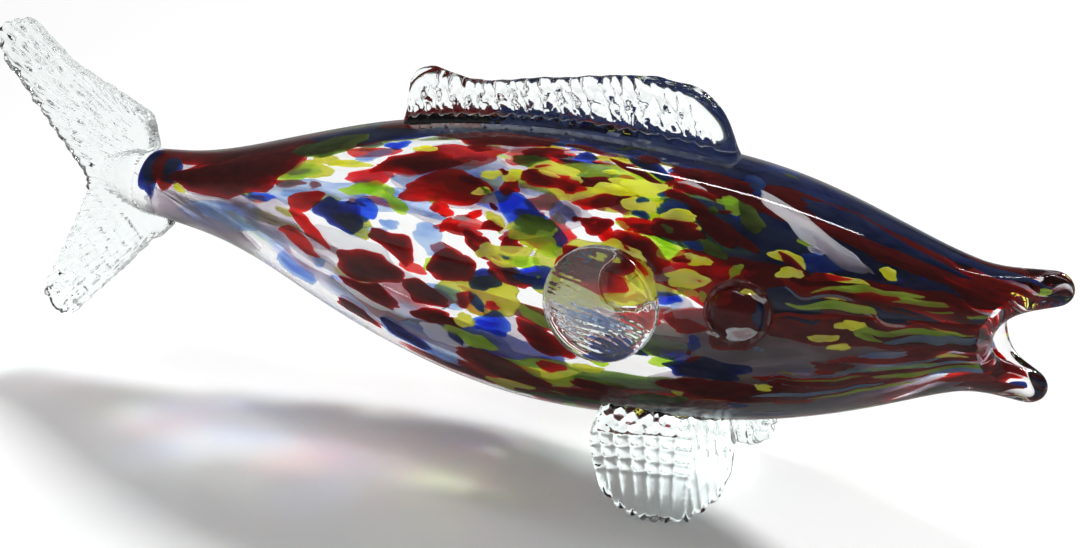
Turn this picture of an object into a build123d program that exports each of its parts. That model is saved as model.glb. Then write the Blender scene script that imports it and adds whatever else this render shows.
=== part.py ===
from build123d import *
import os
from math import cos, radians, sin

# A hand-blown glass fish that stands on two belly fins and on the lower tip of its tail.
# Frame: +X runs towards the mouth, +Y to the fish's left and +Z up. The origin is on the surface that
# it stands on, under the middle of its overall length. Lengths are in millimetres, angles in degrees.

# Body: a hollow spindle, oval in section, from the root face that carries the tail to the mouth
body_length = 314.0  # root face to the corners of the mouth
body_height = 93.0  # at the girth
body_width = 80.0  # at the girth
belly_clearance = 19.0  # height of the belly above the ground, at the girth
root_diameter = 25.0
rear_bow = 1.5  # how far the rear half bows up from a level axis
mouth_height = 36.6
mouth_width = 24.0
mouth_rise = 6.3  # height of the mouth's middle above the girth's
lip_length = 18.5  # corners of the mouth to the lip tips

# Glass layers
wall = 4.6
casing_thickness = 1.8
chip_thickness = 1.0
bore_height = 19.0  # of the opening inside the lips
bore_width = 12.0
hollow_start = 30.0  # solid glass between the root face and the hollow
hollow_start_diameter = 7.0
gape = 14.0  # height of the gap between the lips at the corners of the mouth
lip_thickness = 11.0  # of the round lip tips
lip_part = 27.0  # between the middles of the two lip tips
lower_lip_setback = 3.5  # of the lower lip's tip behind the upper one's
lip_flare = 0.8  # of the mouth's height, from its corners to the lip tips
rim_clear = 3.0  # clear glass between the chips and the corners of the mouth

# Chips: they melt together edge to edge, in rings round the body
ring_chips = (3, 4, 7, 7, 8, 9, 9, 7, 7, 5)  # number of chips in each ring, from the root to the mouth

# Tail: a collar and two flat lobes
tail_length = 69.0
tail_height = 56.0  # upper tip above the root's axis
tail_thickness = 7.0
tail_rounding = 2.4
collar_length = 26.0
collar_waist = 15.0  # diameter of the collar's thin end

# Dorsal fin
dorsal_length = 122.0
dorsal_height = 19.5  # above the girth's top
dorsal_thickness = 7.0
dorsal_rounding = 2.6
dorsal_start = 114.0  # root face to the fin's rear end
dorsal_root = 20.0  # how far the uncut fin reaches down past the girth's top

# Pectoral fins: round pressed discs, lifted off the flank at the rear
pectoral_diameter = 35.0
pectoral_thickness = 6.0
pectoral_rounding = 2.4
pectoral_station = 209.0  # root face to the disc's middle
pectoral_rise = 8.5  # of the disc's middle above the girth's axis
pectoral_stand_off = 5.6  # disc's middle to the flank
pectoral_lift = 20.0  # degrees
pectoral_root_diameter = 15.0
pectoral_root_shift = 6.5  # from the disc's middle, forward and up

# Ventral fins: round ribbed paddles, splayed, with their front edges turned in
ventral_diameter = 46.0
ventral_thickness = 7.0
ventral_rounding = 2.8
ventral_station = 222.0
ventral_spread = 48.0  # between the middles of the two paddles
ventral_splay = 20.0  # degrees
ventral_toe = 18.0  # degrees
ventral_flat = 0.7  # depth of the flat that it stands on

# Eyes
eye_diameter = 20.6
eye_height = 6.6  # of the bead above the skin
eye_station = 247.0
eye_rise = 9.8  # above the girth's axis

overrun = 2.0  # cutting tools reach this far past what they cut

# Shares along the body, of the swell from the end's size to the girth's, and of the axis's bow or rise
rear_shares = ((0.070, 0.055, 0.30), (0.166, 0.240, 1.0), (0.293, 0.605, 0.70), (0.420, 0.880, 0.0))
girth_share = 0.548
front_shares = ((0.675, 0.930, 0.23), (0.803, 0.700, 0.49), (0.914, 0.290, 0.72))
# Shares of the wall at the stations from the second of the rear shares to the last of the front shares
wall_shares = (1.25, 1.0, 1.0, 1.0, 1.0, 1.0, 1.4)
# Colours of the chips, used in turn
chip_colours = ("red", "blue", "white", "red", "yellow", "red", "green", "white", "red", "yellow", "blue")

axis_height = belly_clearance + body_height / 2
root_x = (tail_length - body_length - lip_length) / 2
mouth_x = root_x + body_length
tip_x = mouth_x + lip_length
chip_end_x = mouth_x - rim_clear
mouth_z = axis_height + mouth_rise
back_z = axis_height + body_height / 2

# Stations of the body's outer surface: x, middle height, height and width of each oval section
stations = [(root_x, axis_height, root_diameter, root_diameter)]
for along_share, swell_share, bow_share in rear_shares:
    stations.append(
        (
            root_x + along_share * body_length,
            axis_height + bow_share * rear_bow,
            root_diameter + swell_share * (body_height - root_diameter),
            root_diameter + swell_share * (body_width - root_diameter),
        )
    )
stations.append((root_x + girth_share * body_length, axis_height, body_height, body_width))
for along_share, swell_share, rise_share in front_shares:
    stations.append(
        (
            root_x + along_share * body_length,
            axis_height + rise_share * mouth_rise,
            mouth_height + swell_share * (body_height - mouth_height),
            mouth_width + swell_share * (body_width - mouth_width),
        )
    )
stations.append((mouth_x, mouth_z, mouth_height, mouth_width))
stations.append((tip_x, mouth_z, mouth_height + lip_flare, mouth_width - lip_flare))


def cross_plane(x, z):
    """Plane square to the body's length, with its own x to the fish's left and its own y up."""
    return Plane(origin=(x, 0, z), x_dir=(0, 1, 0), z_dir=(1, 0, 0))


def loft_ovals(sections):
    """Smooth solid through oval sections, each given as x, middle height, height and width."""
    with BuildPart() as form:
        for x, z, height, width in sections:
            with BuildSketch(cross_plane(x, z)):
                with BuildLine():
                    for quarter in range(4):
                        start = 90 * quarter
                        EllipticalCenterArc((0, 0), width / 2, height / 2, start_angle=start, arc_size=90)
                make_face()
        loft()
    return form.part


def layer_form(inset):
    """Solid inside the body's outer surface by the inset, from the root face to just behind the mouth."""
    sections = [(x, z, height - 2 * inset, width - 2 * inset) for x, z, height, width in stations]
    with BuildPart() as form:
        add(loft_ovals(sections))
        split(bisect_by=Plane.YZ.offset(chip_end_x), keep=Keep.BOTTOM)
    return form.part


def hollow_form():
    """The space inside the glass, from its rounded rear end out through the lips."""
    start_x = root_x + hollow_start
    sections = [(start_x, axis_height, hollow_start_diameter, hollow_start_diameter)]
    hollow_stations = stations[2 : 2 + len(wall_shares)]
    for (x, z, height, width), wall_share in zip(hollow_stations, wall_shares):
        inset = 2 * wall_share * wall
        sections.append((x, z, height - inset, width - inset))
    sections.append((mouth_x, mouth_z, bore_height, bore_width))
    sections.append((tip_x + overrun, mouth_z, bore_height, bore_width))
    return loft_ovals(sections)


def mouth_cut():
    """Tool that opens the mouth and rounds the lip tips, cut across the body."""
    lip_radius = lip_thickness / 2
    corner_x = mouth_x + gape / 2
    upper_x = tip_x - lip_radius
    lower_x = upper_x - lower_lip_setback
    upper_z = mouth_z + lip_part / 2
    lower_z = mouth_z - lip_part / 2
    end_x = tip_x + overrun
    top_z = mouth_z + mouth_height
    bottom_z = mouth_z - mouth_height
    with BuildPart() as cut:
        with BuildSketch(Plane.XZ):
            with BuildLine():
                Line((upper_x, top_z), (upper_x, upper_z + lip_radius))
                ThreePointArc(
                    (upper_x, upper_z + lip_radius), (tip_x, upper_z), (upper_x, upper_z - lip_radius)
                )
                Line((upper_x, upper_z - lip_radius), (corner_x, mouth_z + gape / 2))
                ThreePointArc(
                    (corner_x, mouth_z + gape / 2), (mouth_x, mouth_z), (corner_x, mouth_z - gape / 2)
                )
                Line((corner_x, mouth_z - gape / 2), (lower_x, lower_z + lip_radius))
                ThreePointArc(
                    (lower_x, lower_z + lip_radius),
                    (lower_x + lip_radius, lower_z),
                    (lower_x, lower_z - lip_radius),
                )
                Polyline(
                    (lower_x, lower_z - lip_radius),
                    (lower_x, bottom_z),
                    (end_x, bottom_z),
                    (end_x, top_z),
                    (upper_x, top_z),
                )
            make_face()
        extrude(amount=body_width / 2, both=True)
    return cut.part


outer_form = loft_ovals(stations)
chip_form = layer_form(casing_thickness)
bubble_form = layer_form(casing_thickness + chip_thickness)
hollow = hollow_form()
mouth_opening = mouth_cut()
ground = Plane.XY


def skin_seat(x, z):
    """Plane on the right flank at x, z, facing out, with its own x forward."""
    across = Axis((x, 0, z), (0, -1, 0))
    hits = [hit for face in outer_form.faces() for hit in face.find_intersection_points(across)]
    point, normal = min(hits, key=lambda hit: hit[0].Y)
    if normal.Y > 0:
        normal = -normal
    forward = Vector(1, 0, 0) - normal * normal.X
    return Plane(origin=point, x_dir=forward, z_dir=normal)


# Clear bubble: the inner gather, blown hollow, solid at the root
with BuildPart() as clear_bubble:
    add(bubble_form)
    add(hollow, mode=Mode.SUBTRACT)
clear_bubble.part.label = "clear_bubble"

# Chip layer: the thin skin between the bubble and the casing that the chips are cut from
with BuildPart() as chip_layer:
    add(chip_form)
    add(bubble_form, mode=Mode.SUBTRACT)


def chip_places():
    """Colour, ends along the body and turns round it of each chip, ring by ring, half a chip staggered."""
    ring_length = (chip_end_x - root_x) / len(ring_chips)
    places = []
    for ring, count in enumerate(ring_chips):
        near_x = root_x + ring * ring_length
        far_x = near_x + ring_length
        for step in range(count):
            first_turn = 360 * (step + ring / 2) / count
            colour = chip_colours[len(places) % len(chip_colours)]
            places.append((colour, near_x, far_x, first_turn, 360 / count))
    return places


def chip_corners(first_turn, turn):
    """Corners of the wedge, in the body's cross plane, that a chip is cut out by."""
    reach = (max(body_height, body_width) / 2 + overrun) / cos(radians(turn / 2)) + mouth_rise
    corners = [(0, 0)]
    for angle in (first_turn, first_turn + turn):
        corners.append((reach * cos(radians(angle)), reach * sin(radians(angle))))
    return corners


chip_parts = {}
for chip_colour in dict.fromkeys(chip_colours):
    with BuildPart() as chips:
        for colour, near_x, far_x, first_turn, turn in chip_places():
            if colour == chip_colour:
                with BuildSketch(cross_plane(near_x, axis_height)):
                    Polygon(*chip_corners(first_turn, turn), align=None)
                extrude(amount=far_x - near_x)
        add(chip_layer.part, mode=Mode.INTERSECT)
    chips.part.label = f"{chip_colour}_chips"
    chip_parts[chip_colour] = chips.part

# Clear casing: the outer gather, over the chips, which forms the lips
with BuildPart() as clear_casing:
    add(outer_form)
    add(hollow, mode=Mode.SUBTRACT)
    add(mouth_opening, mode=Mode.SUBTRACT)
    add(chip_form, mode=Mode.SUBTRACT)
clear_casing.part.label = "clear_casing"

# Tail fin: corners of its outline as shares of its length and of its height above or below the root's
# axis, each with its rounding as a share of the length
tail_start_shares = (-0.04, 0.19)
tail_corner_shares = (
    (-0.015, 0.49, 0.13),
    (0.507, 0.75, 0.50),
    (0.783, 1.02, 0.09),
    (1.015, 0.94, 0.09),
    (1.007, 0.72, 0.05),
    (0.442, -0.076, 0.12),
    (0.942, -0.87, 0.06),
    (0.855, -1.0, 0.04),
    (0.725, -1.0, 0.06),
)
tail_end_shares = (-0.09, -0.25)


def tail_point(back_share, rise_share):
    """Point of the tail's outline, in its plane."""
    reach = tail_height if rise_share > 0 else axis_height
    return (root_x - back_share * tail_length, axis_height + rise_share * reach)


collar_end_x = root_x - collar_length
collar_form = loft_ovals(
    [
        (collar_end_x, axis_height, collar_waist, tail_thickness),
        (root_x, axis_height, root_diameter, root_diameter),
    ]
)

with BuildPart() as tail_fin:
    with BuildSketch(Plane.XZ):
        with BuildLine():
            tail_edge = FilletPolyline(
                tail_point(*tail_start_shares),
                *[tail_point(back, rise) for back, rise, rounding in tail_corner_shares],
                tail_point(*tail_end_shares),
                radius=[rounding * tail_length for back, rise, rounding in tail_corner_shares],
            )
            Line(tail_edge @ 1, tail_edge @ 0)
        make_face()
    extrude(amount=tail_thickness / 2, both=True)
    fillet(tail_fin.edges().filter_by(Axis.Y, reverse=True), radius=tail_rounding)
    add(collar_form)
    add(outer_form, mode=Mode.SUBTRACT)
tail_fin.part.label = "tail_fin"

# Dorsal fin: corners of its outline as shares of its length and of its height above the girth's top, each
# with its rounding as a share of the length
dorsal_corner_shares = (
    (0.04, 0.79, 0.075),
    (0.23, 0.54, 0.33),
    (0.72, 1.05, 0.65),
    (0.92, 0.92, 0.15),
)
dorsal_start_share = 0.0
dorsal_end_share = 1.04
dorsal_x = root_x + dorsal_start
dorsal_base_z = back_z - dorsal_root


def dorsal_point(along_share, rise_share):
    """Point of the dorsal fin's outline, in its plane."""
    return (dorsal_x + along_share * dorsal_length, back_z + rise_share * dorsal_height)


with BuildPart() as dorsal_fin:
    with BuildSketch(Plane.XZ):
        with BuildLine():
            crest = FilletPolyline(
                (dorsal_x + dorsal_start_share * dorsal_length, dorsal_base_z),
                *[dorsal_point(along, rise) for along, rise, rounding in dorsal_corner_shares],
                (dorsal_x + dorsal_end_share * dorsal_length, dorsal_base_z),
                radius=[rounding * dorsal_length for along, rise, rounding in dorsal_corner_shares],
            )
            Line(crest @ 1, crest @ 0)
        make_face()
    extrude(amount=dorsal_thickness / 2, both=True)
    side_edges = dorsal_fin.edges().filter_by(Axis.Y, reverse=True)
    fillet(side_edges.filter_by(Axis.X, reverse=True), radius=dorsal_rounding)
    add(outer_form, mode=Mode.SUBTRACT)
dorsal_fin.part.label = "dorsal_fin"

# Right pectoral fin: a disc on the flank, with a thick root where it was stuck on
pectoral_seat = skin_seat(root_x + pectoral_station, axis_height + pectoral_rise)
pectoral_plane = pectoral_seat.offset(pectoral_stand_off).rotated((0, pectoral_lift, 0))

with BuildPart() as right_pectoral_fin:
    with BuildSketch(pectoral_plane):
        Circle(pectoral_diameter / 2)
    extrude(amount=pectoral_thickness / 2, both=True)
    fillet(right_pectoral_fin.edges().filter_by(GeomType.CIRCLE), radius=pectoral_rounding)
    with BuildSketch(pectoral_seat.offset(pectoral_stand_off)):
        with Locations((pectoral_root_shift, pectoral_root_shift)):
            Circle(pectoral_root_diameter / 2)
    extrude(amount=-2 * pectoral_stand_off)
    add(outer_form, mode=Mode.SUBTRACT)
right_pectoral_fin.part.label = "right_pectoral_fin"

# Right ventral fin: a splayed paddle, cut by the belly above and flat on the ground below
ventral_middle_z = ventral_diameter / 2 * cos(radians(ventral_splay)) - ventral_flat
ventral_out = (
    sin(radians(ventral_toe)) * cos(radians(ventral_splay)),
    -cos(radians(ventral_toe)) * cos(radians(ventral_splay)),
    sin(radians(ventral_splay)),
)
ventral_plane = Plane(
    origin=(root_x + ventral_station, -ventral_spread / 2, ventral_middle_z),
    x_dir=(cos(radians(ventral_toe)), sin(radians(ventral_toe)), 0),
    z_dir=ventral_out,
)

with BuildPart() as right_ventral_fin:
    with BuildSketch(ventral_plane):
        Circle(ventral_diameter / 2)
    extrude(amount=ventral_thickness / 2, both=True)
    fillet(right_ventral_fin.edges().filter_by(GeomType.CIRCLE), radius=ventral_rounding)
    add(outer_form, mode=Mode.SUBTRACT)
    split(bisect_by=ground, keep=Keep.TOP)
right_ventral_fin.part.label = "right_ventral_fin"

# Right eye: a domed bead, part of a sphere, seated on the skin
eye_seat = skin_seat(root_x + eye_station, axis_height + eye_rise)
eye_radius = (eye_diameter**2 / 4 + eye_height**2) / (2 * eye_height)

with BuildPart() as right_eye:
    with BuildSketch(Plane(origin=eye_seat.origin, x_dir=eye_seat.x_dir, z_dir=-eye_seat.y_dir)):
        with BuildLine():
            ThreePointArc(
                (0, eye_height),
                (eye_radius * sin(radians(30)), eye_height - eye_radius * (1 - cos(radians(30)))),
                (eye_diameter / 2, 0),
            )
            Polyline(
                (eye_diameter / 2, 0),
                (eye_diameter / 2, -eye_height),
                (0, -eye_height),
                (0, eye_height),
            )
        make_face()
    revolve(axis=Axis(eye_seat.origin, eye_seat.z_dir))
    add(outer_form, mode=Mode.SUBTRACT)
right_eye.part.label = "right_eye"

# The left-hand fins and eye mirror the right-hand ones
left_parts = {}
for right_part in (right_pectoral_fin.part, right_ventral_fin.part, right_eye.part):
    with BuildPart() as left_copy:
        mirror(right_part, about=Plane.XZ)
    left_name = right_part.label.replace("right", "left")
    left_copy.part.label = left_name
    left_parts[left_name] = left_copy.part

os.makedirs("parts", exist_ok=True)
export_step(clear_bubble.part, "parts/clear_bubble.step")
for chip_colour, chip_part in chip_parts.items():
    export_step(chip_part, f"parts/{chip_colour}_chips.step")
export_step(clear_casing.part, "parts/clear_casing.step")
export_step(tail_fin.part, "parts/tail_fin.step")
export_step(dorsal_fin.part, "parts/dorsal_fin.step")
export_step(right_pectoral_fin.part, "parts/right_pectoral_fin.step")
export_step(right_ventral_fin.part, "parts/right_ventral_fin.step")
export_step(right_eye.part, "parts/right_eye.step")
for left_name, left_part in left_parts.items():
    export_step(left_part, f"parts/{left_name}.step")
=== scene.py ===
import math

import bmesh
import bpy
import numpy as np
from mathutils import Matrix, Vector
from mathutils.bvhtree import BVHTree


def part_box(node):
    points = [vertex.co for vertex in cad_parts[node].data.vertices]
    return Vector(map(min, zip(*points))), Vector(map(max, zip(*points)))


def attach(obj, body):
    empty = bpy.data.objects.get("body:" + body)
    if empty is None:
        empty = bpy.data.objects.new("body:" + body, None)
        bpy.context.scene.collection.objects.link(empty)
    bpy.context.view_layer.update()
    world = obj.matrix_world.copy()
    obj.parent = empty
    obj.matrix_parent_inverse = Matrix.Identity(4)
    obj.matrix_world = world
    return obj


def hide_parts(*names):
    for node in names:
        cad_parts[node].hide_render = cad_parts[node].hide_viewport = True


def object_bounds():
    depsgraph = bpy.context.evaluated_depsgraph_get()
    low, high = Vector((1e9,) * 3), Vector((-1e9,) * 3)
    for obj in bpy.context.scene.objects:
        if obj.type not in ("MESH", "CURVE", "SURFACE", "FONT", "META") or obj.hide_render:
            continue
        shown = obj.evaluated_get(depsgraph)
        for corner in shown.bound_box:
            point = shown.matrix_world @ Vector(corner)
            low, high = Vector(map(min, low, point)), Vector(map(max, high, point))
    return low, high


# A hand-blown glass fish: a hollow clear body with coloured chips melted into its wall, and clear
# crimped fins, tail and eyes. The numbers below are in millimetres and degrees unless they say otherwise.

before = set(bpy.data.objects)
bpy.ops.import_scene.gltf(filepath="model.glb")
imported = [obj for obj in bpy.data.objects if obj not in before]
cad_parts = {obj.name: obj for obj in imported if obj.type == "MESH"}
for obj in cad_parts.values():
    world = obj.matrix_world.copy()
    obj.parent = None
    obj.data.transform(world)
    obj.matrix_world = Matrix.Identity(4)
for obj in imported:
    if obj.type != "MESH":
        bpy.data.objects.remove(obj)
cad_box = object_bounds()
MM = 0.001
TURN = 2 * math.pi

# The body's outer surface, from the root face to the lip tips: x, middle height, height and width
STATION_X = (-131.75, -109.8, -79.6, -39.75, 0.1, 40.3, 80.2, 120.4, 155.3, 182.25, 200.75)
STATION_Z = (65.5, 65.95, 67.0, 66.55, 65.5, 65.5, 66.95, 68.6, 70.05, 71.8, 71.8)
STATION_HEIGHT = (25.0, 28.7, 41.3, 66.1, 84.8, 93.0, 89.05, 76.1, 53.0, 36.6, 37.4)
STATION_WIDTH = (25.0, 28.0, 38.2, 58.3, 73.4, 80.0, 76.1, 63.2, 40.2, 24.0, 23.2)
ROOT_X = STATION_X[0]
ROOT_Z = STATION_Z[0]
MOUTH_X = STATION_X[-2]
TIP_X = STATION_X[-1]
# The hollow inside it
HOLLOW_X = (-124.0, -112.0, -101.0, -79.6, -39.75, 0.1, 40.3, 80.2, 120.4, 155.3, 182.25, 200.75)
HOLLOW_Z = (65.5, 65.5, 65.8, 67.0, 66.55, 65.5, 65.5, 66.95, 68.6, 70.05, 71.8, 71.8)
HOLLOW_HEIGHT = (3.0, 8.0, 14.5, 29.8, 56.9, 75.6, 83.8, 79.85, 66.9, 40.1, 19.0, 19.0)
HOLLOW_WIDTH = (3.0, 7.5, 13.4, 26.7, 49.1, 64.2, 70.8, 66.9, 54.0, 27.3, 12.0, 12.0)
HOLLOW_END_X = HOLLOW_X[0]
HOLLOW_END_Z = HOLLOW_Z[0]
HOLLOW_END_ROUND = HOLLOW_HEIGHT[0] / 2


def smooth_curve(xs, ys):
    """Natural cubic spline through points, as a function of x that takes arrays."""
    xs = np.array(xs, float)
    ys = np.array(ys, float)
    gaps = np.diff(xs)
    slopes = np.diff(ys) / gaps
    count = len(xs)
    system = np.eye(count)
    right_side = np.zeros(count)
    for i in range(1, count - 1):
        system[i, i - 1] = gaps[i - 1]
        system[i, i] = 2 * (gaps[i - 1] + gaps[i])
        system[i, i + 1] = gaps[i]
        right_side[i] = 6 * (slopes[i] - slopes[i - 1])
    bends = np.linalg.solve(system, right_side)

    def curve(x):
        x = np.clip(x, xs[0], xs[-1])
        i = np.clip(np.searchsorted(xs, x) - 1, 0, count - 2)
        near = x - xs[i]
        slope = slopes[i] - gaps[i] * (2 * bends[i] + bends[i + 1]) / 6
        bend = bends[i] / 2 + near * (bends[i + 1] - bends[i]) / (6 * gaps[i])
        return ys[i] + near * (slope + near * bend)

    return curve


middle_of = smooth_curve(STATION_X, STATION_Z)
height_of = smooth_curve(STATION_X, STATION_HEIGHT)
width_of = smooth_curve(STATION_X, STATION_WIDTH)
hollow_middle_of = smooth_curve(HOLLOW_X, HOLLOW_Z)
hollow_height_of = smooth_curve(HOLLOW_X, HOLLOW_HEIGHT)
hollow_width_of = smooth_curve(HOLLOW_X, HOLLOW_WIDTH)


def girth_of(x):
    """Mean radius of the body, which turns distances round it into angles."""
    return (height_of(x) + width_of(x)) / 4


def step(low, high, value):
    """Smooth rise from 0 to 1 between two values."""
    t = np.clip((value - low) / (high - low), 0, 1)
    return t * t * (3 - 2 * t)


def skin(x, angle, depth=0.0):
    """Point of the body at x and an angle from the fish's left, up over its back, below the skin by depth."""
    y = (width_of(x) / 2 - depth) * np.cos(angle)
    z = middle_of(x) + (height_of(x) / 2 - depth) * np.sin(angle)
    return np.stack([x + 0 * y, y, z], -1)


def lining(x, angle):
    """Point of the hollow's surface."""
    y = hollow_width_of(x) / 2 * np.cos(angle)
    z = hollow_middle_of(x) + hollow_height_of(x) / 2 * np.sin(angle)
    return np.stack([x + 0 * y, y, z], -1)


RIPPLE_OCTAVES = 2
RIPPLE_WAVES = 5


def ripple(p, seed, size):
    """Soft repeatable noise from -1 to 1 at points, with lumps of about the given size."""
    rng = np.random.default_rng(seed)
    total = np.zeros(p.shape[:-1])
    for octave in range(RIPPLE_OCTAVES):
        for wave in range(RIPPLE_WAVES):
            direction = rng.normal(size=3)
            direction /= np.linalg.norm(direction)
            pitch = size * (0.8 + 0.8 * rng.random()) / (1 + octave)
            total += np.sin(TURN * (p @ direction) / pitch + TURN * rng.random()) / (1 + octave)
    return total / RIPPLE_WAVES


def new_object(name, data):
    """New object in the scene."""
    thing = bpy.data.objects.new(name, data)
    bpy.context.scene.collection.objects.link(thing)
    return thing


def vectors_of(parts, name):
    """Vectors that the vertices or faces of a mesh have under a name, as one array."""
    values = np.empty(len(parts) * 3)
    parts.foreach_get(name, values)
    return values.reshape(-1, 3)


def add_piece(name, points, faces, nodes, materials):
    """New smooth mesh piece, from points in millimetres, that stands for CAD nodes."""
    mesh = bpy.data.meshes.new(name)
    mesh.from_pydata((np.asarray(points) * MM).tolist(), [], faces)
    turned = bmesh.new()
    turned.from_mesh(mesh)
    bmesh.ops.recalc_face_normals(turned, faces=turned.faces)
    turned.to_mesh(mesh)
    turned.free()
    mesh.polygons.foreach_set("use_smooth", [True] * len(mesh.polygons))
    piece = new_object(name, mesh)
    for material in materials:
        mesh.materials.append(material)
    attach(piece, "root")
    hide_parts(*nodes)
    return piece


def shell_faces(rows, columns, start=0):
    """Faces of a tube of points, row by row from a start, closed round, then a single point at each end."""
    faces = []
    for row in range(rows - 1):
        base = start + row * columns
        for column in range(columns):
            after = (column + 1) % columns
            faces.append((base + column, base + after, base + columns + after, base + columns + column))
    end = start + (rows - 1) * columns
    first = end + columns
    for column in range(columns):
        after = (column + 1) % columns
        faces.append((start + after, start + column, first))
        faces.append((end + column, end + after, first + 1))
    return faces


# Camera, fitted to the photograph, with its distance and target in metres
AZIMUTH = 28.5
ELEVATION = 22.3
DISTANCE = 0.494
TARGET = (0.03425, 0.0, 0.060)
PICTURE_WIDTH = 1080
PICTURE_HEIGHT = 548
azimuth = math.radians(AZIMUTH)
elevation = math.radians(ELEVATION)
camera_right = np.array((math.cos(azimuth), math.sin(azimuth), 0))
camera_back = np.array(
    (
        math.sin(azimuth) * math.cos(elevation),
        -math.cos(azimuth) * math.cos(elevation),
        math.sin(elevation),
    )
)
lens = bpy.data.cameras.new("camera")
lens.lens = 50
lens.sensor_width = 36
lens.clip_start = 0.01
camera = new_object("camera", lens)
camera.location = np.array(TARGET) + DISTANCE * camera_back
camera.rotation_euler = (math.radians(90 - ELEVATION), 0, azimuth)
bpy.context.scene.camera = camera
camera_place = np.array(camera.location) / MM


def to_picture(points):
    """Picture coordinates of points."""
    away = points - camera_place
    far = away @ -camera_back
    zoom = PICTURE_WIDTH * lens.lens / lens.sensor_width
    across = PICTURE_WIDTH / 2 + zoom * (away @ camera_right) / far
    down = PICTURE_HEIGHT / 2 - zoom * (away @ np.cross(camera_back, camera_right)) / far
    return np.stack([across, down], -1)


def new_material(name):
    """New node material, with its tree, its shader and its output."""
    material = bpy.data.materials.new(name)
    material.use_nodes = True
    tree = material.node_tree
    return material, tree, tree.nodes["Principled BSDF"], tree.nodes["Material Output"]


def join(source, exit_name, target, entry_name):
    """Links an output of one node to an input of another."""
    source.id_data.links.new(source.outputs[exit_name], target.inputs[entry_name])


def let_lamps_through(tree, body, output, shade):
    """Shows a shader, but lets lamps straight through it to what is behind, in a shade."""
    path = tree.nodes.new("ShaderNodeLightPath")
    through = tree.nodes.new("ShaderNodeBsdfTransparent")
    through.inputs["Color"].default_value = (*shade, 1)
    mix = tree.nodes.new("ShaderNodeMixShader")
    join(path, "Is Shadow Ray", mix, "Fac")
    join(body, "BSDF", mix, 1)
    join(through, "BSDF", mix, 2)
    join(mix, "Shader", output, "Surface")


def clear_glass(name, tint, shade, index):
    """Clear glass of a refractive index."""
    material, tree, body, output = new_material(name)
    body.inputs["Base Color"].default_value = (*tint, 1)
    body.inputs["Roughness"].default_value = 0.0
    body.inputs["IOR"].default_value = index
    body.inputs["Transmission Weight"].default_value = 1.0
    let_lamps_through(tree, body, output, shade)
    return material


# Streaks in the chips: how many there are per metre, along and across, and where dark turns to bright
STREAKS = (70, 260, 260)
STREAK_DARK = 0.36
STREAK_BRIGHT = 0.62


def chip_glass(name, bright, dark, share, depth_colour, strength, shade):
    """Streaked coloured glass of the same index as what is round it, deeper where it is thicker."""
    material, tree, body, output = new_material(name)
    place = tree.nodes.new("ShaderNodeTexCoord")
    stretch = tree.nodes.new("ShaderNodeMapping")
    stretch.inputs["Scale"].default_value = STREAKS
    noise = tree.nodes.new("ShaderNodeTexNoise")
    noise.inputs["Scale"].default_value = 1.0
    noise.inputs["Detail"].default_value = 4.0
    ramp = tree.nodes.new("ShaderNodeValToRGB")
    ramp.color_ramp.elements[0].position = STREAK_DARK
    ramp.color_ramp.elements[0].color = (*dark, 1)
    ramp.color_ramp.elements[1].position = STREAK_BRIGHT
    ramp.color_ramp.elements[1].color = (*bright, 1)
    join(place, "Object", stretch, "Vector")
    join(stretch, "Vector", noise, "Vector")
    join(noise, "Fac", ramp, "Fac")
    join(ramp, "Color", body, "Base Color")
    body.inputs["Roughness"].default_value = 0.3
    body.inputs["IOR"].default_value = 1.0
    body.inputs["Transmission Weight"].default_value = share
    let_lamps_through(tree, body, output, shade)
    volume = tree.nodes.new("ShaderNodeVolumeAbsorption")
    volume.inputs["Color"].default_value = (*depth_colour, 1)
    volume.inputs["Density"].default_value = strength
    join(volume, "Volume", output, "Volume")
    return material


GLASS_INDEX = 1.5
body_glass = clear_glass("body_glass", (0.985, 0.99, 0.99), (0.84, 0.85, 0.86), GLASS_INDEX)
fin_glass = clear_glass("fin_glass", (0.925, 0.968, 0.962), (0.9, 0.95, 0.945), GLASS_INDEX)
# Where one bit of glass is melted onto another, nothing bends the light
joint_glass = clear_glass("joint_glass", (0.99, 0.995, 0.995), (1, 1, 1), 1.0)
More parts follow.
